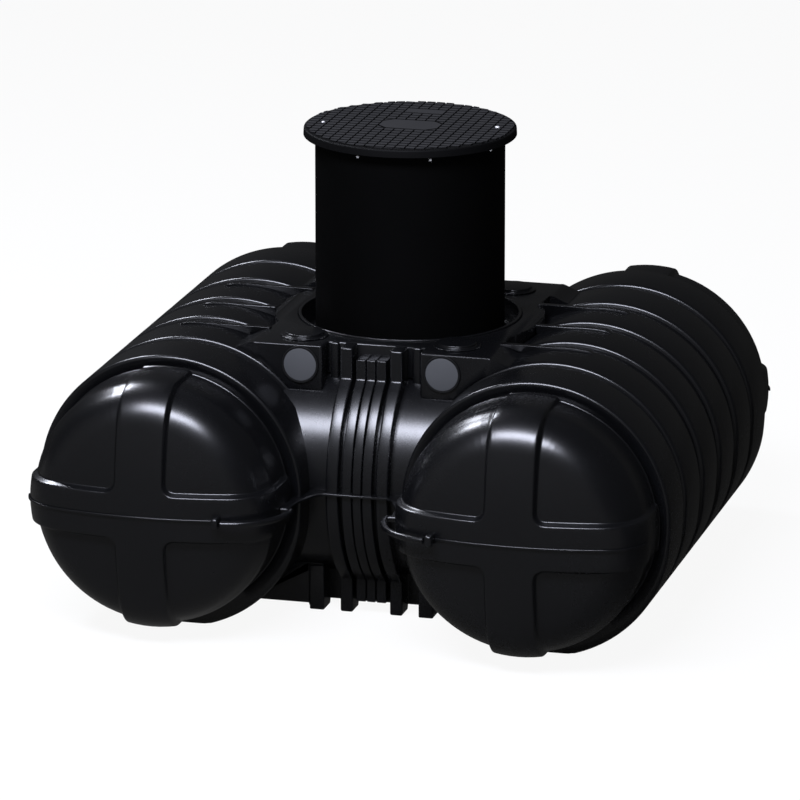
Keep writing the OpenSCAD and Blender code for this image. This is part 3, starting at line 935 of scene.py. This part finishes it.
# %% [markdown]
# Each cell is inset to leave its groove, and inset once more while it is raised, which gives
# the pad its sloping sides. Seen from low down, a groove that runs across the cover nearly
# closes up, so those are cut wider than the ones along it, for the look. One inset cuts both
# alike, so the grid is squashed in depth first and stretched back after.

# %% Raise the pads
PAD_UP, GROOVE_HALF, PAD_DRAFT, SQUASH = 4.3, 2.4, 0.5, 0.45


def stretch_depth(obj, factor):
    obj.scale = (1, factor, 1)
    bpy.ops.object.transform_apply(location=False, rotation=False, scale=True)


stretch_depth(tread, SQUASH)
bpy.ops.object.mode_set(mode="EDIT")
bpy.ops.mesh.select_all(action="SELECT")
bpy.ops.mesh.inset(thickness=GROOVE_HALF * MM, depth=0.0, use_individual=True)
bpy.ops.mesh.inset(thickness=PAD_DRAFT * MM, depth=PAD_UP * MM, use_individual=True)
bpy.ops.object.mode_set(mode="OBJECT")
stretch_depth(tread, 1 / SQUASH)
done(tread, cover_grey, 20)

# %% [markdown]
# Small screws hold the riser's frame and the cover. Half a ball would do for a head, but would
# have to be laid down for each screw of the riser. A short domed line that is turned about the
# screw's own direction serves those that lie and those that stand.

# %% Screws
HEAD = ((0.02, 3.2), (2.2, 3.1), (3.8, 2.4), (4.8, 1.1), (5.0, -0.5))
HEAD_STEPS = 24
RISER_SCREWS, FIRST_SCREW, RISER_SCREW_R, RISER_SCREW_Z = 8, -63.0, 315.2, 1499.0
COVER_SCREWS, COVER_SCREW_R, COVER_SCREW_Z, COVER_SCREW_SIZE = (8, 188), 290.0, 1543.0, 1.4


def screw_head(at, axis, size=1.0):
    """A domed head turned about the given axis, standing on the point it is given."""
    out = Vector(axis)
    across = out.orthogonal().normalized()
    line = [Vector(at) + (across * r + out * h) * size * MM for r, h in HEAD]
    head = edge_path("screw", [tuple(p) for p in line])
    turn(head, at, tuple(out), 360, HEAD_STEPS)
    return head


def on_ring(degrees, radius, z):
    """The direction of a place round the middle line, and the place itself in metres."""
    x, y = math.cos(math.radians(degrees)), math.sin(math.radians(degrees))
    return (x, y, 0), (x * radius * MM, y * radius * MM, z * MM)


heads = []
for i in range(RISER_SCREWS):
    outward, at = on_ring(FIRST_SCREW + 360 / RISER_SCREWS * i, RISER_SCREW_R, RISER_SCREW_Z)
    heads.append(screw_head(at, outward))
as_one("riser_screw_heads", heads, "riser_screws", screw_steel, 50)
heads = []
for degrees in COVER_SCREWS:
    outward, at = on_ring(degrees, COVER_SCREW_R, COVER_SCREW_Z)
    heads.append(screw_head(at, (0, 0, 1), COVER_SCREW_SIZE))
as_one("cover_screw_heads", heads, "cover_screws", screw_steel, 50)

# %% [markdown]
# Black gloss shows what stands round it, so the studio matters as much as the skin. The
# camera sees a white floor and a white sky. The gloss sees only a faint share of that, and more
# of it toward a pale wall in front of the tank. Real cards and flags could do this, but a
# share for each kind of ray keeps them out of sight.

# %% What each kind of ray sees
FRONT_WALL = (-0.42, -0.91, 0.0)


def toward_wall(board, place, start, length):
    """0 to 1 with the reach of a place or direction toward the pale wall in front of the tank."""
    reach = board.node("VectorMath", {"operation": "DOT_PRODUCT"}, out="Value", i0=place, i1=FRONT_WALL)
    return ((reach - start) / length).clamped()


def ray_kinds(board):
    """1 for the rays of the camera or through glass, and 1 for the rays of gloss."""
    straight = board.node("LightPath", out="Is Camera Ray")
    through = board.node("LightPath", out="Is Transmission Ray")
    return straight + through, board.node("LightPath", out="Is Glossy Ray")


print("the pale wall stands toward", FRONT_WALL)

# %% [markdown]
# The floor is white paint that also glows for the camera, so that it comes out white right up
# to the horizon. Paint alone would grey with distance from the lamps, and glow alone would take
# no shadow. A little paint is left in the mix for the soft shadow that the tank stands on.

# %% Floor
FLOOR_GLOW = 0.92
FLOOR_GLOSS, FLOOR_FRONT = 0.025, 0.115
FLOOR_REACH = (0.1, 1.0)  # where the share begins to grow, and over what length


def floor_white():
    s = Shader("floor_white", Base_Color=(0.85, 0.85, 0.85, 1), Roughness=0.9)
    clear, gloss = ray_kinds(s)
    level = toward_wall(s, s.place(), *FLOOR_REACH) * FLOOR_FRONT + FLOOR_GLOSS
    glow = s.node("Emission", Color=clear + gloss * level)
    paint = Sock(s.tree, s.bsdf.outputs[0])
    both = s.node("MixShader", i0=clear * FLOOR_GLOW + gloss, i1=paint, i2=glow)
    s.tree.links.new(both.out, s.tree.nodes["Material Output"].inputs[0])
    return s.mat


bpy.ops.object.select_all(action="DESELECT")
bpy.ops.mesh.primitive_plane_add(size=60.0, location=(0, 0, 0))
floor = bpy.context.object
floor.name = "floor"
floor.data.materials.append(floor_white())
print("floor laid")

# %% [markdown]
# The sky is white for the camera and lights the dull parts a little from all round. It could
# be one even grey, but then the gloss would have no shape, so here too it sees more toward the
# wall.

# %% Sky
WORLD_LIGHT = 0.25
SKY_GLOSS, WALL_GLOSS = 0.035, 0.14
SKY_REACH = (0.35, 0.45)  # where the share begins to grow, and over what length

world = bpy.data.worlds.new("studio")
bpy.context.scene.world = world
world.use_nodes = True
sky = Board(world.node_tree)
clear, gloss = ray_kinds(sky)
wall = toward_wall(sky, sky.node("TexCoord", out="Generated"), *SKY_REACH) * WALL_GLOSS
level = clear + gloss * (wall + SKY_GLOSS) + sky.node("LightPath", out="Is Diffuse Ray") * WORLD_LIGHT
background = sky.tree.nodes["Background"]
background.inputs["Color"].default_value = (1, 1, 1, 1)
sky.tree.links.new(level.out, background.inputs["Strength"])
print("sky set")

# %% [markdown]
# Two lamps do the rest: a wide one in front and above, which draws the long highlights, and a
# smaller one behind the left barrel, which parts it from the white. Small hard lamps would be
# simpler to aim, but would leave sharp sparks on the gloss.

# %% Lamps
LAMP_AIM = (0, 0, 0.4)


def lamp(name, at, size, watts, tint):
    data = bpy.data.lights.new(name, "AREA")
    data.shape = "RECTANGLE"
    data.size, data.size_y = size
    data.energy = watts
    data.color = tint
    obj = bpy.data.objects.new(name, data)
    bpy.context.scene.collection.objects.link(obj)
    obj.location = at
    obj.rotation_euler = (Vector(LAMP_AIM) - Vector(at)).to_track_quat("-Z", "Y").to_euler()
    print(name, "lamp", watts, "W")


lamp("key", (-0.35, -4.91, 6.30), (4.8, 1.8), 960, (0.82, 0.85, 1.0))
lamp("back_left", (-4.5, 2.4, 6.1), (1.6, 1.6), 340, (0.86, 0.89, 1.0))
